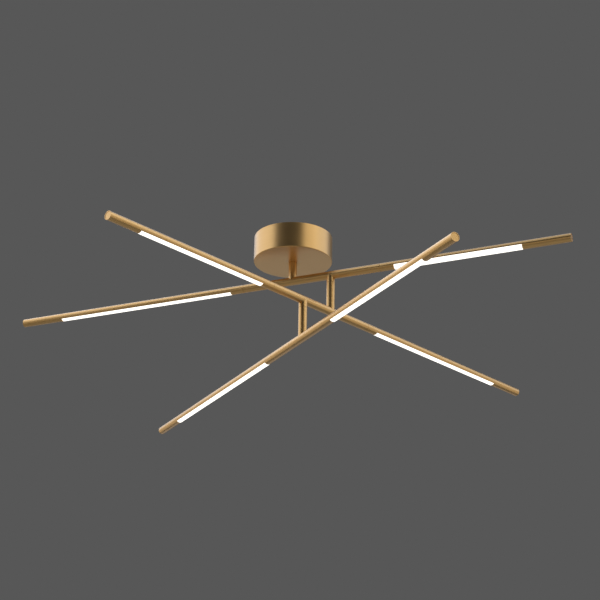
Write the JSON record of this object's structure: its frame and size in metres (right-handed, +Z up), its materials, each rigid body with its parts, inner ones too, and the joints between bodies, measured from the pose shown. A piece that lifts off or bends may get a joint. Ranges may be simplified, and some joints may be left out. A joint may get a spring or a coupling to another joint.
{
  "type": "multi arm ceiling light",
  "caption": "Semi-flush LED ceiling light: drum canopy, short stem and three crossing tube arms on three levels, joined by swivelling posts, with twisting lit ends.",
  "frame": {"origin": "centre of the ceiling plate's two fixing slots, on the ceiling plane", "axes": "+Z up to the ceiling, the two fixing slots in line along X, arm 1 runs from -X (its left end) to +X"},
  "size_m": [0.856, 0.793, 0.1966],
  "materials": {
    "satin_gold": "gold anodised aluminium, satin, fine lines along the tubes and round the canopy",
    "gold_screw": "small socket screw, satin brass",
    "opal_diffuser": "opal polymer diffuser, lit from inside",
    "led_board": "white solder-masked board with chips",
    "zinc_steel": "bright zinc plated steel",
    "spring_steel": "dark phosphated spring steel",
    "turned_brass": "turned brass, bare",
    "driver_plastic": "moulded white polycarbonate, fine spark texture",
    "terminal_plastic": "moulded pale grey polyamide",
    "lead_jacket": "soft silicone jacket, off white"
  },
  "bodies": {
    "ceiling_mount": {"ceiling_plate": "zinc_steel", "canopy": "satin_gold", "canopy_screws": "zinc_steel", "driver_case": "driver_plastic", "terminal_block": "terminal_plastic", "plate_screws": "zinc_steel", "earth_screw": "zinc_steel", "canopy_bush": "satin_gold", "bush_nut": "zinc_steel", "canopy_leads": "lead_jacket"},
    "arm_1": {"stem": "satin_gold", "stem_spindle": "turned_brass", "stem_clip": "spring_steel", "arm_1_tube": "satin_gold", "arm_1_spigots": "turned_brass", "arm_1_leads": "lead_jacket", "arm_1_saddle": "satin_gold"},
    "arm_2": {"post_1": "satin_gold", "post_1_spindle": "turned_brass", "post_1_clip": "spring_steel", "arm_2_tube": "satin_gold", "arm_2_spigots": "turned_brass", "arm_2_leads": "lead_jacket", "arm_2_saddle": "satin_gold"},
    "arm_3": {"post_2": "satin_gold", "post_2_spindle": "turned_brass", "post_2_clip": "spring_steel", "arm_3_tube": "satin_gold", "arm_3_spigots": "turned_brass", "arm_3_leads": "lead_jacket"},
    "head_1a": {"head_1a_tube": "satin_gold", "head_1a_diffuser": "opal_diffuser", "head_1a_led_strip": "led_board", "head_1a_cap": "satin_gold", "head_1a_screw": "gold_screw"},
    "head_1b": {"head_1b_tube": "satin_gold", "head_1b_diffuser": "opal_diffuser", "head_1b_led_strip": "led_board", "head_1b_cap": "satin_gold", "head_1b_screw": "gold_screw"},
    "head_2a": {"head_2a_tube": "satin_gold", "head_2a_diffuser": "opal_diffuser", "head_2a_led_strip": "led_board", "head_2a_cap": "satin_gold", "head_2a_screw": "gold_screw"},
    "head_2b": {"head_2b_tube": "satin_gold", "head_2b_diffuser": "opal_diffuser", "head_2b_led_strip": "led_board", "head_2b_cap": "satin_gold", "head_2b_screw": "gold_screw"},
    "head_3a": {"head_3a_tube": "satin_gold", "head_3a_diffuser": "opal_diffuser", "head_3a_led_strip": "led_board", "head_3a_cap": "satin_gold", "head_3a_screw": "gold_screw"},
    "head_3b": {"head_3b_tube": "satin_gold", "head_3b_diffuser": "opal_diffuser", "head_3b_led_strip": "led_board", "head_3b_cap": "satin_gold", "head_3b_screw": "gold_screw"}
  },
  "joints": [
    {"name": "arm_1_swivel", "type": "hinge", "parent": "ceiling_mount", "child": "arm_1", "pos_m": [0, 0, -0.041], "axis": [0, 0, 1], "range_deg": [-165, 165]},
    {"name": "arm_2_swivel", "type": "hinge", "parent": "arm_1", "child": "arm_2", "pos_m": [0.05863, -0.02251, -0.08385], "axis": [0, 0, 1], "range_deg": [-165, 165]},
    {"name": "arm_3_swivel", "type": "hinge", "parent": "arm_2", "child": "arm_3", "pos_m": [0.0194, -0.06843, -0.14325], "axis": [0, 0, 1], "range_deg": [-165, 165]},
    {"name": "head_1a_twist", "type": "hinge", "parent": "arm_1", "child": "head_1a", "pos_m": [-0.07562, 0.02903, -0.0715], "axis": [0.9336, -0.3584, 0], "range_deg": [-60, 60]},
    {"name": "head_1b_twist", "type": "hinge", "parent": "arm_1", "child": "head_1b", "pos_m": [0.13397, -0.05143, -0.0715], "axis": [0.9336, -0.3584, 0], "range_deg": [-28, 92]},
    {"name": "head_2a_twist", "type": "hinge", "parent": "arm_2", "child": "head_2a", "pos_m": [-0.02385, -0.11908, -0.1309], "axis": [0.6494, 0.7604, 0], "range_deg": [-60, 60]},
    {"name": "head_2b_twist", "type": "hinge", "parent": "arm_2", "child": "head_2b", "pos_m": [0.11123, 0.03909, -0.1309], "axis": [0.6494, 0.7604, 0], "range_deg": [-60, 60]},
    {"name": "head_3a_twist", "type": "hinge", "parent": "arm_3", "child": "head_3a", "pos_m": [0.05381, -0.12709, -0.1903], "axis": [-0.506, 0.8625, 0], "range_deg": [-60, 60]},
    {"name": "head_3b_twist", "type": "hinge", "parent": "arm_3", "child": "head_3b", "pos_m": [-0.02563, 0.00833, -0.1903], "axis": [-0.506, 0.8625, 0], "range_deg": [-60, 60]}
  ]
}
